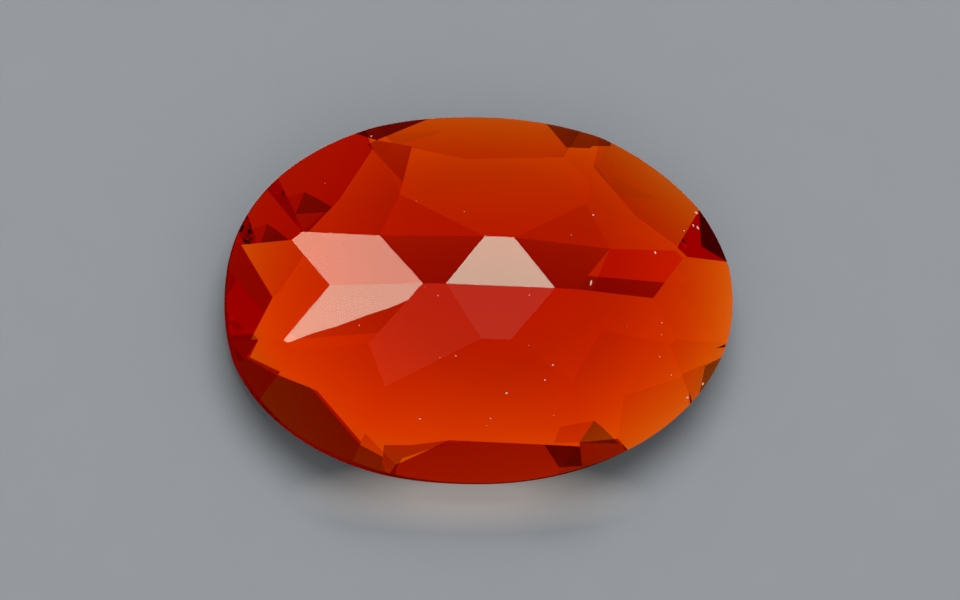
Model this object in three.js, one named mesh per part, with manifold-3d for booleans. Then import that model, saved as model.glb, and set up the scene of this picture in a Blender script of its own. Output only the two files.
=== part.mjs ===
// A faceted oval fire opal, one solid stone, lying face down on its table with its keel up.
// Millimetres, +Z up. X runs along the stone, Y across it. The origin is the middle of the table,
// which is the flat face that the stone rests on.
// The stone is made in the way it is cut: an oval blank, then one flat cut after another.
import * as THREE from 'three';
import { mergeVertices } from 'three/addons/utils/BufferGeometryUtils.js';
import Module from 'manifold-3d';

// Overall size
const LENGTH = 8.0;
const WIDTH = 5.76;
const RIM_HEIGHT = 1.03; // table to the upper rim of the girdle
const PAVILION_HEIGHT = 2.84; // upper rim of the girdle to the keel

// The oval outline. An exponent of 2 is an ellipse, and more is a fuller, blunter end.
const LEFT_FULLNESS = 2.21;
const RIGHT_FULLNESS = 2.01;
const OUTLINE_STEPS = 144;

// Crown facets, counter-clockwise from the right end. The crown is cut by hand and is uneven. Each
// corner of the table has a main facet of its own, which faces an azimuth, and a star facet starts
// from the edge of the table between that corner and the next. Slopes are measured from the table.
// All angles are in degrees.
const CROWN_FACETS = [
  { corner: [2.50, 0.30], azimuth: -7.5, slope: 26.0, star: 22.5 },
  { corner: [2.05, 0.80], azimuth: 47.5, slope: 31.0, star: 12.5 },
  { corner: [-0.20, 1.65], azimuth: 85, slope: 30.0, star: 11.5 },
  { corner: [-1.75, 1.10], azimuth: 140, slope: 28.0, star: 17.0 },
  { corner: [-2.60, 0.20], azimuth: 160, slope: 30.0, star: 10.5 },
  { corner: [-2.15, -1.00], azimuth: 237, slope: 25.5, star: 17.5 },
  { corner: [-0.40, -1.65], azimuth: 278, slope: 29.5, star: 19.0 },
  { corner: [1.95, -0.95], azimuth: 322, slope: 26.5, star: 22.5 },
];

// Pavilion facets, measured in the same way. The keel is a straight ridge along the stone.
// Keel facets start from a point of the keel, and the others touch the upper rim of the girdle.
const PAVILION_TURN = -1.8; // the pavilion was cut a little askew of the outline
const CENTRE_SLOPE = 26.5;
const KITE_SLOPE = 36.5;
const KITE_AZIMUTH = 70;
const KITE_START = 0.85; // from the middle of the keel
const CHEVRON_SLOPE = 40.5;
const CHEVRON_AZIMUTH = 16;
const CHEVRON_START = 1.20;
const SIDE_SLOPE = 49.5;
const SHOULDER_SLOPE = 50.5;
const SHOULDER_AZIMUTH = 51;
const CORNER_SLOPE = 53.5;
const CORNER_AZIMUTH = 30;
const END_SLOPE = 48.5;

const KEEL_HEIGHT = RIM_HEIGHT + PAVILION_HEIGHT;

const degrees = (angle) => THREE.MathUtils.degToRad(angle);

// Outline

function outlinePoint(turn) {
  const fullness = Math.cos(turn) < 0 ? LEFT_FULLNESS : RIGHT_FULLNESS;
  const bulge = (value) => Math.sign(value) * Math.abs(value) ** (2 / fullness);
  return new THREE.Vector2(
    (LENGTH / 2) * bulge(Math.cos(turn)),
    (WIDTH / 2) * bulge(Math.sin(turn)),
  );
}

const outline = Array.from({ length: OUTLINE_STEPS }, (_, step) =>
  outlinePoint((2 * Math.PI * step) / OUTLINE_STEPS));

// The point of the girdle's upper rim that lies furthest in one direction
function rimPoint(direction) {
  const reach = (point) => point.x * direction.x + point.y * direction.y;
  const furthest = outline.reduce((best, point) => (reach(point) > reach(best) ? point : best));
  return new THREE.Vector3(furthest.x, furthest.y, RIM_HEIGHT);
}

// Cuts. A cut is a plane whose normal points out of the stone.

// The normal of a facet that faces an azimuth, at a slope from the table
function facing(azimuth, slope, up) {
  const across = Math.sin(degrees(slope));
  return new THREE.Vector3(
    Math.cos(degrees(azimuth)) * across,
    Math.sin(degrees(azimuth)) * across,
    Math.cos(degrees(slope)) * up,
  );
}

function cutThrough(point, normal) {
  return new THREE.Plane().setFromNormalAndCoplanarPoint(normal, point);
}

// The same facet in each quarter of the stone
function quarters(azimuth) {
  return [azimuth, 180 - azimuth, 180 + azimuth, 360 - azimuth];
}

// Crown, below the girdle

// A facet of the crown that starts from a point of the table
function tableCut([x, y], azimuth, slope) {
  return cutThrough(new THREE.Vector3(x, y, 0), facing(azimuth, slope, -1));
}

// The way that the edge of the table between two of its corners faces
function edgeAzimuth([fromX, fromY], [toX, toY]) {
  return THREE.MathUtils.radToDeg(Math.atan2(fromX - toX, toY - fromY));
}

function crownCuts() {
  return CROWN_FACETS.flatMap(({ corner, azimuth, slope, star }, place) => {
    const next = CROWN_FACETS[(place + 1) % CROWN_FACETS.length].corner;
    return [
      tableCut(corner, azimuth, slope),
      tableCut(corner, edgeAzimuth(corner, next), star),
    ];
  });
}

// Pavilion, above the girdle

// How far the keel has dropped at a distance from its middle, along a facet that starts higher up
function keelDrop(slope, azimuth, from, to) {
  return Math.tan(degrees(slope)) * Math.cos(degrees(azimuth)) * (to - from);
}

// A facet beside the keel, in all four quarters
function keelCuts(slope, azimuth, start, height) {
  return quarters(azimuth).map((turned) => {
    const side = Math.sign(Math.cos(degrees(turned)));
    const point = new THREE.Vector3(side * start, 0, height);
    return cutThrough(point, facing(turned, slope, 1));
  });
}

function turnedWithPavilion(cut) {
  return cut.applyMatrix4(new THREE.Matrix4().makeRotationZ(degrees(PAVILION_TURN)));
}

// Facets that come down to the girdle, each touching it where it faces
function girdleCuts(slope, azimuths) {
  return azimuths.map((azimuth) => {
    const turned = azimuth + PAVILION_TURN;
    const rim = rimPoint(facing(turned, 90, 0));
    return cutThrough(rim, facing(turned, slope, 1));
  });
}

function pavilionCuts() {
  const middle = new THREE.Vector3(0, 0, KEEL_HEIGHT);
  const centre = [90, 270].map((azimuth) => cutThrough(middle, facing(azimuth, CENTRE_SLOPE, 1)));
  const kites = keelCuts(KITE_SLOPE, KITE_AZIMUTH, KITE_START, KEEL_HEIGHT);
  const drop = keelDrop(KITE_SLOPE, KITE_AZIMUTH, KITE_START, CHEVRON_START);
  const chevrons = keelCuts(CHEVRON_SLOPE, CHEVRON_AZIMUTH, CHEVRON_START, KEEL_HEIGHT - drop);
  return [
    ...[...centre, ...kites, ...chevrons].map(turnedWithPavilion),
    ...girdleCuts(SIDE_SLOPE, [90, 270]),
    ...girdleCuts(SHOULDER_SLOPE, quarters(SHOULDER_AZIMUTH)),
    ...girdleCuts(CORNER_SLOPE, quarters(CORNER_AZIMUTH)),
    ...girdleCuts(END_SLOPE, [0, 180]),
  ];
}

// Cutting

const wasm = await Module();
wasm.setup();

function solidFrom(geometry) {
  const bare = geometry.clone();
  bare.deleteAttribute('normal');
  bare.deleteAttribute('uv');
  const merged = mergeVertices(bare, 1e-5);
  return new wasm.Manifold(new wasm.Mesh({
    numProp: 3,
    vertProperties: new Float32Array(merged.attributes.position.array),
    triVerts: new Uint32Array(merged.index.array),
  }));
}

function geometryFrom(solid) {
  const mesh = solid.getMesh();
  const geometry = new THREE.BufferGeometry();
  geometry.setAttribute('position', new THREE.BufferAttribute(mesh.vertProperties, 3));
  geometry.setIndex(new THREE.BufferAttribute(mesh.triVerts, 1));
  geometry.computeVertexNormals();
  return geometry;
}

// The oval blank, as tall as the finished stone
function blank() {
  return new THREE.ExtrudeGeometry(new THREE.Shape(outline), {
    depth: KEEL_HEIGHT,
    bevelEnabled: false,
  });
}

function cutStone() {
  const cuts = [...crownCuts(), ...pavilionCuts()];
  // trimming keeps what lies in front of a plane, so each cut is turned round to face inwards
  const stone = cuts.reduce(
    (rough, { normal, constant }) => rough.trimByPlane(normal.clone().negate().toArray(), constant),
    solidFrom(blank()),
  );
  return geometryFrom(stone);
}

const opal = new THREE.MeshStandardMaterial({
  color: 0xc83a08,
  roughness: 0.04,
  metalness: 0.0,
  transparent: true,
  opacity: 0.85,
  flatShading: true,
});

const stone = new THREE.Mesh(cutStone(), opal);
stone.name = 'fire_opal';

const part = new THREE.Group();
part.add(stone);

export default part;
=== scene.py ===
"""A polished faceted oval fire opal on pale paper, under soft studio light."""
import math
import random

import bpy
from bpy.props import FloatProperty, FloatVectorProperty, IntProperty, PointerProperty
from bpy.types import Operator, Panel, PropertyGroup
from mathutils import Matrix, Vector
from mathutils.bvhtree import BVHTree
from mathutils.geometry import intersect_line_plane


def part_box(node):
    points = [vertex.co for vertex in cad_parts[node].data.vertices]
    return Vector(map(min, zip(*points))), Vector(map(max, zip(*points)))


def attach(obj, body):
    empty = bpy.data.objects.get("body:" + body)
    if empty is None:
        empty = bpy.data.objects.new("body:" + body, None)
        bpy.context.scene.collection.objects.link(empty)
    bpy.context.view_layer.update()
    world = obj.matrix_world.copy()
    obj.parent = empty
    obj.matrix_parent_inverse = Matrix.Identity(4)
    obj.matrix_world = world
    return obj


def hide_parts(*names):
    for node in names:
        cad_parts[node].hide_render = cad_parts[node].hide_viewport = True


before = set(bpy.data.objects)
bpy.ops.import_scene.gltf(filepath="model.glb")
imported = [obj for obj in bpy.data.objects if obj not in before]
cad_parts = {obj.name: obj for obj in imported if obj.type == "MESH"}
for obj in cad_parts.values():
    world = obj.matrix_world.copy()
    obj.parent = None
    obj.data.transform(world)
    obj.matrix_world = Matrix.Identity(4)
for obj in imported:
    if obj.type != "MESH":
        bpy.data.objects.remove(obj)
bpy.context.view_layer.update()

bl_info = {
    "name": "Faceted Fire Opal",
    "version": (1, 0, 0),
    "blender": (4, 5, 0),
    "location": "View3D > Sidebar > Fire Opal",
    "description": "Polishes a faceted oval fire opal, dusts it and lays it on lit paper",
    "category": "Add Mesh",
}

BODY = "root"
STONE_NODE = "fire_opal"
PAINTED_KEEL_SHADE = "painted_keel_shade"
PAINTED_SHADE_TONE = "painted_shade_tone"
MM = 0.001

SAME_PLANE = 0.99999 # cosine of the angle that two faces of one facet may differ by
WELD_DISTANCE = 0.0005 * MM
FLAT_ANGLE = math.radians(0.2) # less than this is one facet
EDGE_ANGLE = math.radians(4) # more than this is an edge that wears

STONE_LOW, STONE_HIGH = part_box(STONE_NODE)
HALF_LENGTH = STONE_HIGH.x
HALF_WIDTH = STONE_HIGH.y

# The photograph. Its look is straight, and its middle is the middle of the stone's outline
PHOTO_WIDTH = 960
PHOTO_MIDDLE = (480.1, 300.0) # pixels to the right, and down
PHOTO_PER_MM = 63.7 # pixels to a millimetre of the stone
PHOTO_HEIGHT = 1.03 * MM # how high over the paper that middle is
LEAN_RIGHT = 0.113 # the look runs this far along X, and
LEAN_BACK = 0.079 # this far along Y, for each step down
CAMERA_DISTANCE = 200 * MM
LOOK_START = 100 * MM # how far over the stone a look down at it starts

# Facets of the ridged side, each by a place in the photograph that lies in it
MIDDLE_FACET = (497, 268)
LEFT_KITE_FACET = (430, 262)
RIGHT_KITE_FACET = (572, 262)
LEFT_CHEVRON_FACET = (350, 262)
LEFT_FRONT_CHEVRON_FACET = (340, 312)
RIGHT_CHEVRON_FACET = (640, 262)

# Where the painted shade beside the keel ends on a facet: two places on its border
KEEL_SHADE_BORDERS = (
    (LEFT_KITE_FACET, (376.7, 240.7), (481.7, 236.7)),
    (RIGHT_KITE_FACET, (511.7, 236.7), (610.0, 248.3)),
    (RIGHT_CHEVRON_FACET, (598.7, 275.9), (661.9, 280.7)),
)

# Patches of painted shade: the corners of each in the photograph, going round, and its tone, by
# which the colour of the facets in it is multiplied
SHADE_PATCHES = (
    # slivers along the rim
    (((354, 140), (390, 141), (440, 119.5), (440, 100), (354, 100)), (0.05, 0.002, 0.1)),
    (((541, 124), (566, 145), (612, 144), (612, 100), (541, 100)), (0.12, 0.05, 0.1)),
    (((692.5, 190), (701, 242), (729, 266), (760, 266), (760, 190)), (0.02, 0.02, 0.1)),
    (((708, 362), (724, 352), (745, 352), (735, 400), (697, 388)), (0.14, 0.22, 1.0)),
    # lower right
    (((561, 426), (595, 420), (578, 446), (553, 446)), (0.71, 0.38, 1.0)),
    (((595, 420), (623.5, 443), (578, 446)), (0.18, 0.27, 1.0)),
    (((623.5, 443), (628.5, 447), (610, 480), (556, 480), (578, 446)), (0.65, 1.0, 1.0)),
    # lower left
    (((262, 400), (278, 378), (310, 389), (359, 441.5), (340, 490), (262, 490)),
     (0.18, 1.0, 1.0)),
    (((359, 441.5), (382.5, 457), (381, 472), (378, 490), (340, 490)), (0.14, 0.06, 1.0)),
    (((397, 467.4), (390, 479), (381, 472)), (0.35, 0.10, 1.0)),
    (((382.5, 452.5), (452, 440.6), (397, 467.4), (381, 472)), (0.35, 0.10, 1.0)),
    # upper left
    (((371.5, 143), (392, 142), (412, 146), (400.5, 180.5), (371.5, 150)), (0.38, 0.08, 1.0)),
    (((371.5, 150), (400.5, 180.5), (400.5, 190), (378, 238.5), (341.5, 198)),
     (0.70, 0.25, 1.0)),
    (((341.5, 198), (378, 238.5), (309, 231.5)), (0.70, 0.25, 1.0)),
    # left end
    (((220, 331), (249, 332.5), (256.5, 340.5), (249.5, 359.5), (220, 361.7)),
     (0.30, 0.20, 0.20)),
    (((220, 361.7), (251.7, 363), (278, 376), (262, 400), (220, 400)), (0.30, 0.20, 0.20)),
    # facets beside the keel
    (((330.7, 285), (425, 287.8), (380.6, 333.5), (298.3, 342.3), (291.7, 335.7)),
     (0.70, 0.60, 1.0)),
    (((400.5, 190), (481.7, 236.7), (376.7, 240.7)), (0.80, 0.28, 1.0)),
    (((589.5, 206), (610, 248.3), (511.7, 236.7)), (0.76, 0.50, 1.0)),
    (((611.5, 247), (674, 246.5), (684, 256), (652, 297.5), (592, 291.5)), (0.88, 0.13, 1.0)),
)

# Where the left front lamp's mirror image ends on its facet
MIRROR_BORDER = ((306.0, 339.0), (392.0, 306.9))

# Dim lamps: the front facet that mirrors each, and how bright it is against the haze setting
HAZE_LAMPS = (
    ((497.0, 318.0), 1.00),
    ((425.0, 335.0), 0.35),
)

# The lamp that lights the paper hangs high at the back
PAPER_LAMP_WAY = (-0.02, 0.52, 1.0)

# The glow on the paper in front of the stone: its middle and half sizes
PAPER_LEVEL = -0.03 * MM
GLOW_MIDDLE = (-0.05 * MM, -3.02 * MM)
GLOW_SIZE = (2.9 * MM, 0.62 * MM)

# The pool of light on the paper, hidden by the stone in the photograph's view
POOL_MIDDLE = (LEAN_RIGHT * PHOTO_HEIGHT, LEAN_BACK * PHOTO_HEIGHT, -0.015 * MM)
POOL_SIZE = 0.99 # as a share of the outline, and
POOL_FADE = 0.88 # the share from which it fades
POOL_DIMMEST = (0.3 * MM, 0.6 * MM) # its dimmest place, from its middle

# Specks of lint: place in the photograph, size against a large speck, and length against width
SPECKS = (
    ((704.5, 382.2), 1.00, 1.0),
    ((698.0, 210.5), 0.95, 1.3),
    ((699.4, 225.6), 0.90, 1.5),
    ((694.8, 223.4), 0.65, 1.4),
    ((655.5, 251.2), 0.75, 1.4),
    ((506.6, 392.5), 0.80, 1.1),
    ((593.2, 214.5), 0.55, 1.5),
    ((689.0, 396.0), 0.60, 1.6),
    ((590.5, 282.0), 0.70, 3.0),
    ((456.0, 355.5), 0.50, 1.2),
    ((552.7, 364.0), 0.50, 1.6),
    ((544.8, 379.0), 0.50, 1.3),
    ((420.0, 419.0), 0.60, 1.1),
    ((660.2, 355.0), 0.45, 1.0),
    ((672.2, 373.2), 0.40, 1.2),
    ((662.0, 321.0), 0.40, 1.0),
    ((371.0, 137.0), 0.50, 1.3),
    ((438.3, 296.0), 0.35, 1.5),
    ((685.3, 228.8), 0.40, 1.6),
    ((490.7, 418.0), 0.40, 1.5),
)

# Fine specks, strewn by chance: size and length as above, from the least to the most
FINE_SIZES = (0.12, 0.30)
FINE_LENGTHS = (1.0, 1.8)
FINE_REACH = 0.9 # how far out they lie, as a share of the outline
SPECK_HEIGHT = 0.6 # against its radius

# Nicks in the girdle: tip and foot in the photograph
NICKS = (
    ((717.5, 346.3), (727.0, 343.8)),
    ((691.0, 390.0), (692.3, 401.0)),
)
NICK_HEIGHT = 0.2 # against its width


# Helpers

def deselect_all():
    """Nothing selected and nothing active, in object mode."""
    if bpy.context.object is not None and bpy.context.object.mode != "OBJECT":
        bpy.ops.object.mode_set(mode="OBJECT")
    bpy.ops.object.select_all(action="DESELECT")


def make_active(piece):
    """Only this piece is selected, and it is the active one."""
    deselect_all()
    piece.select_set(True)
    bpy.context.view_layer.objects.active = piece


def wear(piece, material):
    """One material all over a piece."""
    piece.data.materials.clear()
    piece.data.materials.append(material)


def shader_tree(name):
    """A new node material, its tree and its Principled shader."""
    material = bpy.data.materials.new(name)
    material.use_nodes = True
    tree = material.node_tree
    return material, tree, tree.nodes["Principled BSDF"]


def object_noise(tree, cycles_per_mm, detail):
    """A noise texture over the piece's own place."""
    place = tree.nodes.new("ShaderNodeTexCoord")
    noise = tree.nodes.new("ShaderNodeTexNoise")
    noise.inputs["Scale"].default_value = cycles_per_mm / MM
    noise.inputs["Detail"].default_value = detail
    tree.links.new(place.outputs["Object"], noise.inputs["Vector"])
    return noise


def ramp(tree, source, stops):
    """A colour ramp over a value, from (position, colour) pairs."""
    node = tree.nodes.new("ShaderNodeValToRGB")
    elements = node.color_ramp.elements
    while len(elements) < len(stops):
        elements.new(0.5)
    for element, (position, colour) in zip(elements, stops):
        element.position = position
        element.color = (*colour, 1.0)
    tree.links.new(source, node.inputs["Fac"])
    return node


# From the photograph to the stone

TO_CAMERA = Vector((-LEAN_RIGHT, -LEAN_BACK, 1.0)).normalized()
AIM = Vector((0, 0, PHOTO_HEIGHT))
CAMERA_PLACE = AIM + CAMERA_DISTANCE * TO_CAMERA


def stone_surface():
    """The cut stone's surface, to find where a place is on it."""
    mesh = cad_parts[STONE_NODE].data
    return BVHTree.FromPolygons([v.co for v in mesh.vertices], [f.vertices for f in mesh.polygons])


SURFACE = stone_surface()


def place_of(pixel):
    """The place on the photograph's own plane, level with the girdle."""
    right = (pixel[0] - PHOTO_MIDDLE[0]) / PHOTO_PER_MM * MM
    back = (PHOTO_MIDDLE[1] - pixel[1]) / PHOTO_PER_MM * MM
    return Vector((right, back, PHOTO_HEIGHT))


def seen_at(pixel):
    """The point of the stone at a place in the photograph, and which way its facet faces."""
    above = place_of(pixel) + LOOK_START * TO_CAMERA
    point, normal, _, _ = SURFACE.ray_cast(above, -TO_CAMERA)
    if point is None:
        raise RuntimeError("the stone isn't at %s" % list(pixel))
    return point, normal


def mirrored_from(pixel):
    """The point of the stone at a place in the photograph, and the direction that it mirrors."""
    point, normal = seen_at(pixel)
    towards = (CAMERA_PLACE - point).normalized()
    return point, 2 * normal.dot(towards) * normal - towards


# Materials

def add_fade(tree, look):
    """Light fades on its way through the opal, blue most and red least."""
    absorb = tree.nodes.new("ShaderNodeVolumeAbsorption")
    fade = [-math.log(share) for share in look.clear_per_mm]
    strongest = max(fade)
    absorb.inputs["Color"].default_value = (*[1 - value / strongest for value in fade], 1.0)
    absorb.inputs["Density"].default_value = strongest / MM
    tree.links.new(absorb.outputs["Volume"], tree.nodes["Material Output"].inputs["Volume"])


def add_unevenness(tree, shader, look):
    """The faint waves that a polishing wheel leaves on a facet."""
    waves = object_noise(tree, cycles_per_mm=0.5, detail=1.0)
    bump = tree.nodes.new("ShaderNodeBump")
    bump.inputs["Strength"].default_value = 1.0
    bump.inputs["Distance"].default_value = look.unevenness
    tree.links.new(waves.outputs["Fac"], bump.inputs["Height"])
    tree.links.new(bump.outputs["Normal"], shader.inputs["Normal"])


def keel_shade_ramp(tree, look):
    """The painted shade of the band beside the keel, darkest at the keel."""
    place = tree.nodes.new("ShaderNodeTexCoord")
    parts = tree.nodes.new("ShaderNodeSeparateXYZ")
    tree.links.new(place.outputs["Object"], parts.inputs["Vector"])
    from_keel = tree.nodes.new("ShaderNodeMapRange")
    from_keel.inputs["From Min"].default_value = 0.0
    from_keel.inputs["From Max"].default_value = look.keel_shade_width
    tree.links.new(parts.outputs["Y"], from_keel.inputs["Value"])
    return ramp(tree, from_keel.outputs["Result"], (
        (0.0, tuple(look.keel_shade_darkest)),
        (1.0, tuple(look.keel_shade_edge)),
    ))


def opal_material(look):
    """Clear polished opal, a touch cloudy in places, with painted shade: a dark band beside the
    keel, and darker patches.
    """
    material, tree, shader = shader_tree("fire opal")
    shader.inputs["Roughness"].default_value = look.polish
    shader.inputs["IOR"].default_value = look.ior
    shader.inputs["Transmission Weight"].default_value = 1.0
    clouds = object_noise(tree, cycles_per_mm=0.35, detail=3.0)
    tone = ramp(tree, clouds.outputs["Fac"], (
        (0.35, tuple(look.tone_cloudy)),
        (0.60, tuple(look.tone_clear)),
    ))
    # The faces of the band beside the keel take a darker colour: painted shade.
    band = tree.nodes.new("ShaderNodeAttribute")
    band.attribute_name = PAINTED_KEEL_SHADE
    banded = tree.nodes.new("ShaderNodeMix")
    banded.data_type = "RGBA"
    tree.links.new(band.outputs["Fac"], banded.inputs["Factor"])
    tree.links.new(tone.outputs["Color"], banded.inputs["A"])
    tree.links.new(keel_shade_ramp(tree, look).outputs["Color"], banded.inputs["B"])
    # Patches of painted shade: their tone multiplies the colour of the facets in them.
    patch = tree.nodes.new("ShaderNodeAttribute")
    patch.attribute_name = PAINTED_SHADE_TONE
    patched = tree.nodes.new("ShaderNodeMix")
    patched.data_type = "RGBA"
    patched.blend_type = "MULTIPLY"
    patched.inputs["Factor"].default_value = 1.0
    tree.links.new(banded.outputs["Result"], patched.inputs["A"])
    tree.links.new(patch.outputs["Color"], patched.inputs["B"])
    tree.links.new(patched.outputs["Result"], shader.inputs["Base Color"])
    add_unevenness(tree, shader, look)
    add_fade(tree, look)
    return material


def dust_material(dust):
    """Pale lint, painted a little warm for the light of the stone under it, with a painted
    sparkle: it glows a little.
    """
    material, tree, shader = shader_tree("dust")
    mottle = object_noise(tree, cycles_per_mm=20.0, detail=2.0)
    tint = ramp(tree, mottle.outputs["Fac"], (
        (0.3, tuple(0.6 * value for value in dust.colour)),
        (0.7, tuple(dust.colour)),
    ))
    tree.links.new(tint.outputs["Color"], shader.inputs["Base Color"])
    tree.links.new(tint.outputs["Color"], shader.inputs["Emission Color"])
    # The lint's glow is a painted sparkle.
    shader.inputs["Emission Strength"].default_value = dust.painted_sparkle
    shader.inputs["Roughness"].default_value = 0.9
    shader.inputs["Specular IOR Level"].default_value = 0.2
    return material


def nick_material(look):
    """The dark red inside of a nick."""
    material, tree, shader = shader_tree("nick")
    grain = object_noise(tree, cycles_per_mm=30.0, detail=2.0)
    tint = ramp(tree, grain.outputs["Fac"], (
        (0.3, tuple(0.5 * value for value in look.nick_colour)),
        (0.7, tuple(look.nick_colour)),
    ))
    tree.links.new(tint.outputs["Color"], shader.inputs["Base Color"])
    shader.inputs["Roughness"].default_value = 0.4
    return material


def oval_distance(tree, middle, half_sizes):
    """The distance from the middle of an oval, which is one at its rim."""
    place = tree.nodes.new("ShaderNodeTexCoord")
    fit = tree.nodes.new("ShaderNodeMapping")
    fit.vector_type = "TEXTURE"
    fit.inputs["Location"].default_value = (*middle, 0.0)
    fit.inputs["Scale"].default_value = (*half_sizes, 1.0)
    tree.links.new(place.outputs["Object"], fit.inputs["Vector"])
    from_middle = tree.nodes.new("ShaderNodeVectorMath")
    from_middle.operation = "LENGTH"
    tree.links.new(fit.outputs["Vector"], from_middle.inputs["Vector"])
    return from_middle


def add_glow(tree, shader, middle, half_sizes, stops):
    """Light that the stone throws on the paper, by the distance from the middle of an oval."""
    distance = oval_distance(tree, middle, half_sizes)
    light = ramp(tree, distance.outputs["Value"], stops)
    tree.links.new(light.outputs["Color"], shader.inputs["Emission Color"])
    shader.inputs["Emission Strength"].default_value = 1.0


def paper_material(stage):
    """Smooth pale paper with a faint mottle."""
    material, tree, shader = shader_tree("paper")
    fibres = object_noise(tree, cycles_per_mm=1.2, detail=4.0)
    pale = tuple(stage.paper)
    tint = ramp(tree, fibres.outputs["Fac"], (
        (0.3, tuple(0.985 * value for value in pale)),
        (0.7, pale),
    ))
    tree.links.new(tint.outputs["Color"], shader.inputs["Base Color"])
    shader.inputs["Roughness"].default_value = 0.95
    shader.inputs["Specular IOR Level"].default_value = 0.0
    add_glow(tree, shader, GLOW_MIDDLE, GLOW_SIZE, (
        (0.30, tuple(stage.glow)),
        (1.00, (0.0, 0.0, 0.0)),
    ))
    return material


def pool_material(stage):
    """The orange light that has come down through the stone, redder under its middle."""
    material, tree, shader = shader_tree("light pool")
    shader.inputs["Base Color"].default_value = (0.0, 0.0, 0.0, 1.0)
    shader.inputs["Specular IOR Level"].default_value = 0.0
    add_glow(tree, shader, POOL_DIMMEST, (HALF_LENGTH, HALF_WIDTH), (
        (0.30, tuple(stage.pool_middle)),
        (0.85, tuple(stage.pool_ring)),
        (0.97, tuple(stage.pool_edge)),
    ))
    distance = oval_distance(tree, (0.0, 0.0), (HALF_LENGTH, HALF_WIDTH))
    soft_edge = ramp(tree, distance.outputs["Value"], (
        (POOL_FADE, (1.0, 1.0, 1.0)),
        (POOL_SIZE, (0.0, 0.0, 0.0)),
    ))
    tree.links.new(soft_edge.outputs["Color"], shader.inputs["Alpha"])
    return material


# Settings

class FireOpalLook(PropertyGroup):
    """How the opal itself looks and is finished."""
    ior: FloatProperty(
        name="Index of refraction", description="How strongly the opal bends light",
        default=1.415, min=1.3, max=1.6)
    clear_per_mm: FloatVectorProperty(
        name="Clearness", description="Share of red, green and blue light left after a millimetre",
        default=(0.99, 0.52, 0.06), size=3, min=0.001, max=0.999)
    tone_clear: FloatVectorProperty(
        name="Clear tone", description="Tone of the facets where the opal is clearest",
        default=(1.0, 1.0, 1.0), size=3, subtype="COLOR", min=0.0, max=1.0)
    tone_cloudy: FloatVectorProperty(
        name="Cloudy tone", description="Tone of the facets where the opal is cloudiest",
        default=(0.95, 0.88, 0.85), size=3, subtype="COLOR", min=0.0, max=1.0)
    # The band beside the keel is painted shade: these settings darken its colour.
    keel_shade_edge: FloatVectorProperty(
        name="Keel shade edge", description="Tone at the border of the band of painted shade beside the keel",
        default=(0.43, 0.20, 0.20), size=3, subtype="COLOR", min=0.0, max=1.0)
    keel_shade_darkest: FloatVectorProperty(
        name="Darkest keel shade", description="Tone of the band of painted shade at the keel",
        default=(0.23, 0.09, 0.10), size=3, subtype="COLOR", min=0.0, max=1.0)
    keel_shade_width: FloatProperty(
        name="Keel shade width", description="How far from the keel the band of painted shade goes",
        default=0.85 * MM, unit="LENGTH", precision=5)
    polish: FloatProperty(
        name="Polish", description="Roughness of the polished facets",
        default=0.0, min=0.0, max=1.0)
    unevenness: FloatProperty(
        name="Unevenness", description="How far the polishing wheel left the facets from flat",
        default=0.0004 * MM, unit="LENGTH", precision=6)
    edge_wear: FloatProperty(
        name="Edge wear", description="Width of the worn line along each facet edge",
        default=0.008 * MM, unit="LENGTH", precision=6)
    nick_width: FloatProperty(
        name="Nick width", description="Width of a nick where it meets the girdle",
        default=0.055 * MM, unit="LENGTH", precision=6)
    nick_colour: FloatVectorProperty(
        name="Nick colour", description="Colour inside a nick",
        default=(0.35, 0.012, 0.004), size=3, subtype="COLOR", min=0.0, max=1.0)


class FireOpalDust(PropertyGroup):
    """Specks of lint on the stone."""
    count: IntProperty(
        name="Specks", description="How many fine specks are strewn besides the larger ones",
        default=18, min=0, max=200)
    size: FloatProperty(
        name="Size", description="Radius of a large speck",
        default=0.024 * MM, unit="LENGTH", precision=6)
    colour: FloatVectorProperty(
        name="Colour", description="Colour of the lint",
        default=(1.0, 0.75, 0.62), size=3, subtype="COLOR", min=0.0, max=1.0)
    # A painted sparkle: the lint glows a little.
    painted_sparkle: FloatProperty(
        name="Painted sparkle", description="How brightly the lint glows, a painted sparkle",
        default=0.35, min=0.0)
    seed: IntProperty(
        name="Seed", description="Changes how the fine specks are strewn", default=7)


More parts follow.
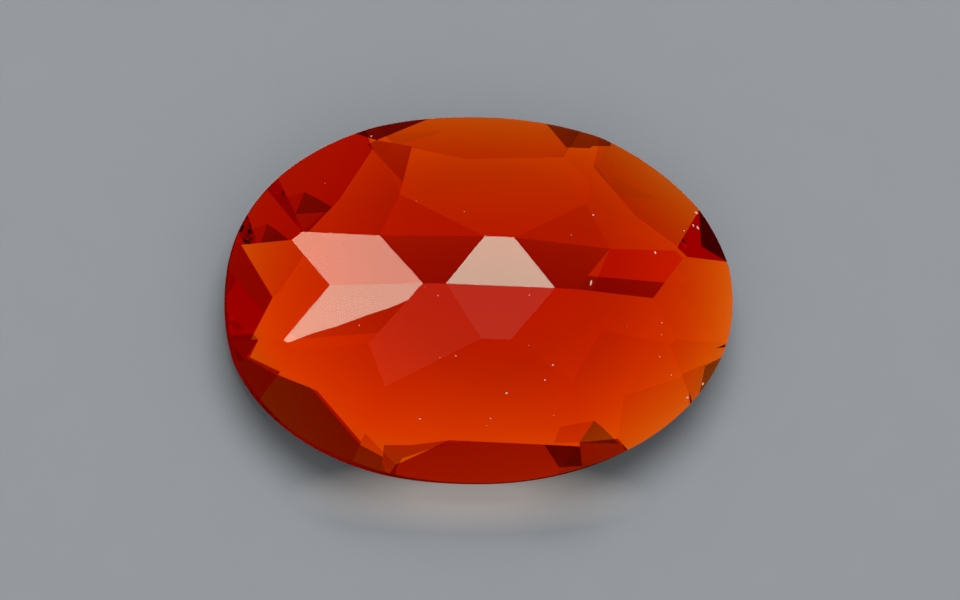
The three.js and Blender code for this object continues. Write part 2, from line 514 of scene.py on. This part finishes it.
class FireOpalStage(PropertyGroup):
    """Paper, lamps and room."""
    paper: FloatVectorProperty(
        name="Paper", description="Colour of the paper under the stone",
        default=(0.60, 0.63, 0.67), size=3, subtype="COLOR", min=0.0, max=1.0)
    floor_size: FloatProperty(
        name="Floor size", description="Side of the sheet of paper",
        default=1.0, unit="LENGTH")
    pool_middle: FloatVectorProperty(
        name="Pool middle",
        description="Light that the stone throws on the paper under its middle",
        default=(0.53, 0.13, 0.01), size=3, subtype="COLOR", min=0.0, max=1.0)
    pool_ring: FloatVectorProperty(
        name="Pool ring",
        description="Light that the stone throws on the paper around its middle",
        default=(0.76, 0.155, 0.02), size=3, subtype="COLOR", min=0.0, max=1.0)
    pool_edge: FloatVectorProperty(
        name="Pool edge",
        description="Light that the stone throws on the paper under its girdle",
        default=(0.62, 0.175, 0.03), size=3, subtype="COLOR", min=0.0, max=1.0)
    lamp_distance: FloatProperty(
        name="Lamp distance", description="From the stone to each lamp",
        default=0.5, unit="LENGTH")
    glow: FloatVectorProperty(
        name="Glow", description="Light that the stone throws on the paper in front of it",
        default=(0.235, 0.20, 0.18), size=3, subtype="COLOR", min=0.0, max=1.0)
    paper_lamp_spread: FloatProperty(
        name="Paper lamp spread", description="Half the angle that the paper lamp fills",
        default=math.radians(18), subtype="ANGLE")
    paper_lamp_light: FloatProperty(
        name="Paper lamp light", description="Brightness that the paper lamp gives white paper",
        default=0.31)
    fill_spread: FloatProperty(
        name="Fill spread", description="Half the angle that the fill lamp fills",
        default=math.radians(60), subtype="ANGLE")
    fill_light: FloatProperty(
        name="Fill light", description="Brightness that the fill lamp gives white paper",
        default=0.20)
    mirror_spread: FloatProperty(
        name="Mirrored lamp spread", description="Half the angle that each mirrored lamp fills",
        default=math.radians(4), subtype="ANGLE")
    back_radiance: FloatProperty(
        name="Back radiance", description="Brightness of the lamp in the middle facet",
        default=11.6)
    left_radiance: FloatProperty(
        name="Left radiance", description="Brightness of the lamp in the left facet", default=7.1)
    front_radiance: FloatProperty(
        name="Left front radiance", description="Brightness of the lamp in the left front facet",
        default=9.6)
    haze_spread: FloatProperty(
        name="Haze spread", description="Half the angle that each dim lamp fills",
        default=math.radians(5), subtype="ANGLE")
    haze_radiance: FloatProperty(
        name="Haze radiance", description="Brightness of the dim lamp in the front facet",
        default=0.52)
    lamp_colour: FloatVectorProperty(
        name="Lamp colour", description="Colour of the mirrored lamps",
        default=(1.0, 1.05, 0.8), size=3, subtype="COLOR", min=0.0, max=2.0)
    room: FloatProperty(
        name="Room light", description="Brightness of the room, seen through the stone",
        default=0.42)


# Operators

class OPAL_OT_polish_stone(Operator):
    """Make the polished stone from the cut one, with fine worn edges and painted shade on its
    facets
    """
    bl_idname = "opal.polish_stone"
    bl_label = "Polish the Stone"

    def execute(self, context):
        look = context.scene.fire_opal_look
        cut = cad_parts[STONE_NODE]
        piece = bpy.data.objects.new("polished_opal", cut.data.copy())
        context.scene.collection.objects.link(piece)
        wear(piece, opal_material(look))
        make_active(piece)
        bpy.ops.object.mode_set(mode="EDIT")
        bpy.ops.mesh.select_all(action="SELECT")
        bpy.ops.mesh.remove_doubles(threshold=WELD_DISTANCE)
        bpy.ops.mesh.dissolve_limited(angle_limit=FLAT_ANGLE)
        bpy.ops.object.mode_set(mode="OBJECT")
        paint_keel_shade(piece)
        paint_shade_patches(piece)
        bevel = piece.modifiers.new("edge wear", "BEVEL")
        bevel.width = look.edge_wear
        bevel.segments = 2
        bevel.limit_method = "ANGLE"
        bevel.angle_limit = EDGE_ANGLE
        bpy.ops.object.modifier_apply(modifier=bevel.name)
        shade_facets()
        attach(piece, BODY)
        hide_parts(STONE_NODE)
        return {"FINISHED"}


def shade_facets():
    """Flat facets on the active piece, without the shading that the cut stone's mesh has."""
    bpy.ops.mesh.customdata_custom_splitnormals_clear()
    bpy.ops.object.shade_flat()


def is_past(point, plane):
    """Whether a point lies on the side of a plane that the plane faces."""
    place, across = plane
    return (point - place).dot(across) > 0


def in_facet(face, normal):
    """Whether a face lies in the facet that faces this way."""
    return face.normal.dot(normal) > SAME_PLANE


def is_ridged_side(face):
    """Whether a face is on the side of the stone that is uppermost."""
    return face.normal.z > 0.01


def split_faces(piece, is_split, plane):
    """Split the faces that pass a test along a plane."""
    mesh = piece.data
    for part in (mesh.vertices, mesh.edges):
        part.foreach_set("select", [False] * len(part))
    for face in mesh.polygons:
        face.select = is_split(face)
    place, across = plane
    bpy.ops.object.mode_set(mode="EDIT")
    bpy.ops.mesh.bisect(plane_co=place, plane_no=across)
    bpy.ops.object.mode_set(mode="OBJECT")


def paint_keel_shade(piece):
    """Split the facets where the painted shade beside the keel ends, and mark the part beside the
    keel for it.
    """
    piece.data.attributes.new(PAINTED_KEEL_SHADE, "FLOAT", "FACE")
    _, normal = seen_at(MIDDLE_FACET)
    mark_keel_shade(piece, lambda face: in_facet(face, normal))
    for facet, left, right in KEEL_SHADE_BORDERS:
        _, normal = seen_at(facet)
        start, _ = seen_at(left)
        end, _ = seen_at(right)
        border = (start, (end - start).cross(TO_CAMERA).normalized())
        split_faces(piece, lambda face: in_facet(face, normal), border)
        mark_keel_shade(piece, lambda face: in_facet(face, normal) and is_past(face.center, border))


def mark_keel_shade(piece, takes_keel_shade):
    """Mark the faces that pass a test to take the painted shade beside the keel."""
    marks = piece.data.attributes[PAINTED_KEEL_SHADE].data
    for face in piece.data.polygons:
        if takes_keel_shade(face):
            marks[face.index].value = 1.0


def paint_shade_patches(piece):
    """Cut the outline of each patch into the ridged side, and paint shade on its inside by its
    tone.
    """
    tones = piece.data.attributes.new(PAINTED_SHADE_TONE, "FLOAT_COLOR", "FACE")
    for value in tones.data:
        value.color = (1.0, 1.0, 1.0, 1.0)
    for corners, tone in SHADE_PATCHES:
        sides = patch_sides(corners)
        for side in sides:
            split_faces(piece, lambda face: reaches_patch(piece, face, sides), side)
        values = piece.data.attributes[PAINTED_SHADE_TONE].data
        for face in piece.data.polygons:
            if is_ridged_side(face) and all(is_past(face.center, side) for side in sides):
                values[face.index].color = (*tone, 1.0)


def patch_sides(corners):
    """Planes from the camera through the sides of a patch, facing into it."""
    places = [place_of(corner) for corner in corners]
    inside = sum(places, Vector()) / len(places)
    sides = []
    for start, end in zip(places, places[1:] + places[:1]):
        across = (start - CAMERA_PLACE).cross(end - CAMERA_PLACE).normalized()
        if across.dot(inside - start) < 0:
            across.negate()
        sides.append((start, across))
    return sides


def reaches_patch(piece, face, sides):
    """Whether a face of the ridged side reaches into a patch."""
    corners = [piece.data.vertices[index].co for index in face.vertices]
    return is_ridged_side(face) and all(
        any(is_past(corner, side) for corner in corners) for side in sides)


def lay_on_stone(piece, point, normal, along, size):
    """Stretch a piece of unit size along a facet, and put it down at a point of the stone."""
    side = normal.cross(along).normalized()
    turn = Matrix((normal.cross(side) * -1, side, normal)).transposed().to_4x4()
    piece.matrix_world = Matrix.Translation(point) @ turn @ Matrix.Diagonal((*size, 1))
    make_active(piece)
    bpy.ops.object.transform_apply(location=True, rotation=True, scale=True)


def join_as(name, parts, material):
    """One piece out of many small parts."""
    deselect_all()
    for part in parts:
        part.select_set(True)
    piece = parts[0]
    bpy.context.view_layer.objects.active = piece
    bpy.ops.object.join()
    piece.name = name
    wear(piece, material)
    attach(piece, BODY)


class OPAL_OT_strew_dust(Operator):
    """Lay the specks of lint on the ridged side"""
    bl_idname = "opal.strew_dust"
    bl_label = "Strew the Dust"

    def execute(self, context):
        dust = context.scene.fire_opal_dust
        chance = random.Random(dust.seed)
        specks = list(SPECKS)
        for _ in range(dust.count):
            around = chance.uniform(0, 2 * math.pi)
            out = FINE_REACH * math.sqrt(chance.random())
            pixel = (
                PHOTO_MIDDLE[0] + out * HALF_LENGTH / MM * PHOTO_PER_MM * math.cos(around),
                PHOTO_MIDDLE[1] + out * HALF_WIDTH / MM * PHOTO_PER_MM * math.sin(around),
            )
            specks.append((pixel, chance.uniform(*FINE_SIZES), chance.uniform(*FINE_LENGTHS)))
        parts = []
        for pixel, share, length in specks:
            deselect_all()
            bpy.ops.mesh.primitive_ico_sphere_add(subdivisions=2, radius=1.0)
            speck = bpy.context.object
            point, normal = seen_at(pixel)
            turned = chance.uniform(0, 2 * math.pi)
            along = Vector((math.cos(turned), math.sin(turned), 0))
            radius = share * dust.size
            size = (radius * length, radius, SPECK_HEIGHT * radius)
            lay_on_stone(speck, point, normal, along, size)
            bpy.ops.object.shade_smooth()
            parts.append(speck)
        join_as("lint", parts, dust_material(dust))
        return {"FINISHED"}


class OPAL_OT_nick_girdle(Operator):
    """Make the two fine nicks that run in from the girdle"""
    bl_idname = "opal.nick_girdle"
    bl_label = "Nick the Girdle"

    def execute(self, context):
        look = context.scene.fire_opal_look
        parts = []
        for tip, foot in NICKS:
            end, normal = seen_at(tip)
            start, _ = seen_at(foot)
            deselect_all()
            bpy.ops.mesh.primitive_cone_add(vertices=8, radius1=0.5, radius2=0.0, depth=1.0)
            nick = bpy.context.object
            bpy.ops.object.mode_set(mode="EDIT")
            bpy.ops.transform.rotate(value=-math.pi / 2, orient_axis="Y",
                                     center_override=(0, 0, 0))
            bpy.ops.object.mode_set(mode="OBJECT")
            along = end - start
            size = (along.length, look.nick_width, NICK_HEIGHT * look.nick_width)
            lay_on_stone(nick, (start + end) / 2, normal, along, size)
            parts.append(nick)
        join_as("girdle_nicks", parts, nick_material(look))
        return {"FINISHED"}


class OPAL_OT_set_stage(Operator):
    """Lay the paper, hang the lamps and place the camera"""
    bl_idname = "opal.set_stage"
    bl_label = "Set the Stage"

    def execute(self, context):
        stage = context.scene.fire_opal_stage
        lay_paper(stage)
        hang_lamps(stage)
        place_camera(context.scene)
        return {"FINISHED"}


def lay_paper(stage):
    """The sheet of paper, and the pool of light that the stone throws on it."""
    deselect_all()
    bpy.ops.mesh.primitive_plane_add(size=stage.floor_size, location=(0, 0, PAPER_LEVEL))
    floor = bpy.context.object
    floor.name = "paper_floor"
    bpy.ops.object.transform_apply(location=True, rotation=False, scale=False)
    wear(floor, paper_material(stage))
    floor.visible_glossy = False
    deselect_all()
    bpy.ops.mesh.primitive_circle_add(vertices=96, radius=1.0, fill_type="NGON")
    pool = bpy.context.object
    pool.name = "light_pool"
    pool.scale = (POOL_SIZE * HALF_LENGTH, POOL_SIZE * HALF_WIDTH, 1)
    pool.location = POOL_MIDDLE
    bpy.ops.object.transform_apply(location=True, rotation=False, scale=True)
    wear(pool, pool_material(stage))
    pool.visible_glossy = False


def hang_lamp(name, place, turn, size, radiance, colour, shape="DISK"):
    """A flat lamp. Its power is its radiance times pi times its area."""
    lamp = bpy.data.lights.new(name, "AREA")
    lamp.shape = shape
    lamp.size = size
    area = size * size if shape == "SQUARE" else math.pi * size * size / 4
    lamp.energy = radiance * math.pi * area
    lamp.color = colour
    hung = bpy.data.objects.new(name, lamp)
    bpy.context.scene.collection.objects.link(hung)
    hung.matrix_world = Matrix.Translation(place) @ turn
    return hung


def hang_round_lamp(name, direction, distance, spread, radiance, colour):
    """A round lamp that faces the stone."""
    turn = direction.to_track_quat("Z", "Y").to_matrix().to_4x4()
    size = 2 * distance * math.tan(spread)
    return hang_lamp(name, distance * direction, turn, size, radiance, colour)


def hang_paper_lamp(name, direction, distance, spread, light):
    """A round lamp that lights the paper and isn't seen in the stone."""
    direction = direction.normalized()
    radiance = light / (direction.z * math.sin(spread) ** 2)
    hung = hang_round_lamp(name, direction, distance, spread, radiance, (1, 1, 1))
    hung.visible_glossy = False
    hung.visible_transmission = False


def mirror_only(hung):
    """Only seen as a mirror image on a facet, like a lamp with a narrow hood."""
    hung.visible_diffuse = False
    hung.visible_transmission = False


def hang_bordered_lamp(name, stage, facet, border, radiance, colour):
    """A square lamp whose mirror image ends at a border on its facet."""
    point, direction = mirrored_from(facet)
    plane = point + stage.lamp_distance * direction
    ends = []
    for pixel in border:
        start, way = mirrored_from(pixel)
        ends.append(intersect_line_plane(start, start + way, plane, direction))
    along = (ends[1] - ends[0]).normalized()
    inward = direction.cross(along).normalized()
    if inward.dot(plane - ends[0]) < 0:
        inward.negate()
    size = 2 * stage.lamp_distance * math.tan(stage.mirror_spread)
    place = (ends[0] + ends[1]) / 2 + inward * size / 2
    turn = Matrix((along, direction.cross(along), direction)).transposed().to_4x4()
    return hang_lamp(name, place, turn, size, radiance, colour, shape="SQUARE")


def hang_lamps(stage):
    """Lamps for the paper, small and dim lamps that facets mirror, and the room."""
    distance = stage.lamp_distance
    tint = tuple(stage.lamp_colour)
    hang_paper_lamp("paper lamp", Vector(PAPER_LAMP_WAY), distance, stage.paper_lamp_spread,
                    stage.paper_lamp_light)
    hang_paper_lamp("fill lamp", Vector((0, 0, 1)), distance, stage.fill_spread, stage.fill_light)
    mirrored = [
        hang_round_lamp("back lamp", mirrored_from(MIDDLE_FACET)[1], distance,
                        stage.mirror_spread, stage.back_radiance, tint),
        hang_round_lamp("left lamp", mirrored_from(LEFT_CHEVRON_FACET)[1], distance,
                        stage.mirror_spread, stage.left_radiance, tint),
        hang_bordered_lamp("left front lamp", stage, LEFT_FRONT_CHEVRON_FACET, MIRROR_BORDER,
                           stage.front_radiance, tint),
    ]
    for facet, share in HAZE_LAMPS:
        mirrored.append(hang_round_lamp("haze lamp", mirrored_from(facet)[1], distance,
                                        stage.haze_spread, share * stage.haze_radiance, tint))
    for hung in mirrored:
        mirror_only(hung)
    world = bpy.data.worlds.new("room")
    world.use_nodes = True
    world.node_tree.nodes["Background"].inputs["Color"].default_value = (*[stage.room] * 3, 1.0)
    world.cycles_visibility.diffuse = False
    world.cycles_visibility.glossy = False
    bpy.context.scene.world = world


def place_camera(scene):
    """A long lens over the stone, leaning as in the photograph, with the stone's back up."""
    right = Vector((0, 1, 0)).cross(TO_CAMERA).normalized()
    above = TO_CAMERA.cross(right)
    turn = Matrix((right, above, TO_CAMERA)).transposed().to_4x4()
    camera = bpy.data.cameras.new("camera")
    seen_width = PHOTO_WIDTH / PHOTO_PER_MM * MM
    camera.lens = camera.sensor_width * CAMERA_DISTANCE / seen_width
    camera.clip_start = 0.01
    placed = bpy.data.objects.new("camera", camera)
    scene.collection.objects.link(placed)
    placed.matrix_world = Matrix.Translation(CAMERA_PLACE) @ turn
    scene.camera = placed
    scene.view_settings.view_transform = "Standard"
    # light bounces many times between the facets before it leaves the stone
    scene.cycles.max_bounces = 32
    scene.cycles.transmission_bounces = 24
    scene.cycles.glossy_bounces = 16
    scene.cycles.diffuse_bounces = 6
    scene.cycles.blur_glossy = 0.0
    scene.cycles.sample_clamp_indirect = 0.0
    # the pool stands for the light that comes down through the stone
    scene.cycles.caustics_refractive = False
    scene.cycles.caustics_reflective = False


class OPAL_PT_panel(Panel):
    """Lists the steps that make the fire opal"""
    bl_label = "Fire Opal"
    bl_idname = "OPAL_PT_panel"
    bl_space_type = "VIEW_3D"
    bl_region_type = "UI"
    bl_category = "Fire Opal"

    def draw(self, context):
        for step in STEPS:
            self.layout.operator(step.bl_idname)


STEPS = (OPAL_OT_polish_stone, OPAL_OT_nick_girdle, OPAL_OT_strew_dust, OPAL_OT_set_stage)
SETTINGS = (FireOpalLook, FireOpalDust, FireOpalStage)
CLASSES = (*SETTINGS, *STEPS, OPAL_PT_panel)


def register():
    """Add the classes and the settings."""
    for item in CLASSES:
        bpy.utils.register_class(item)
    bpy.types.Scene.fire_opal_look = PointerProperty(type=FireOpalLook)
    bpy.types.Scene.fire_opal_dust = PointerProperty(type=FireOpalDust)
    bpy.types.Scene.fire_opal_stage = PointerProperty(type=FireOpalStage)


def unregister():
    """Take the settings and the classes away."""
    del bpy.types.Scene.fire_opal_stage
    del bpy.types.Scene.fire_opal_dust
    del bpy.types.Scene.fire_opal_look
    for item in reversed(CLASSES):
        bpy.utils.unregister_class(item)


def main():
    """Run the steps in order."""
    register()
    bpy.ops.opal.polish_stone()
    bpy.ops.opal.nick_girdle()
    bpy.ops.opal.strew_dust()
    bpy.ops.opal.set_stage()


if __name__ == "__main__":
    main()
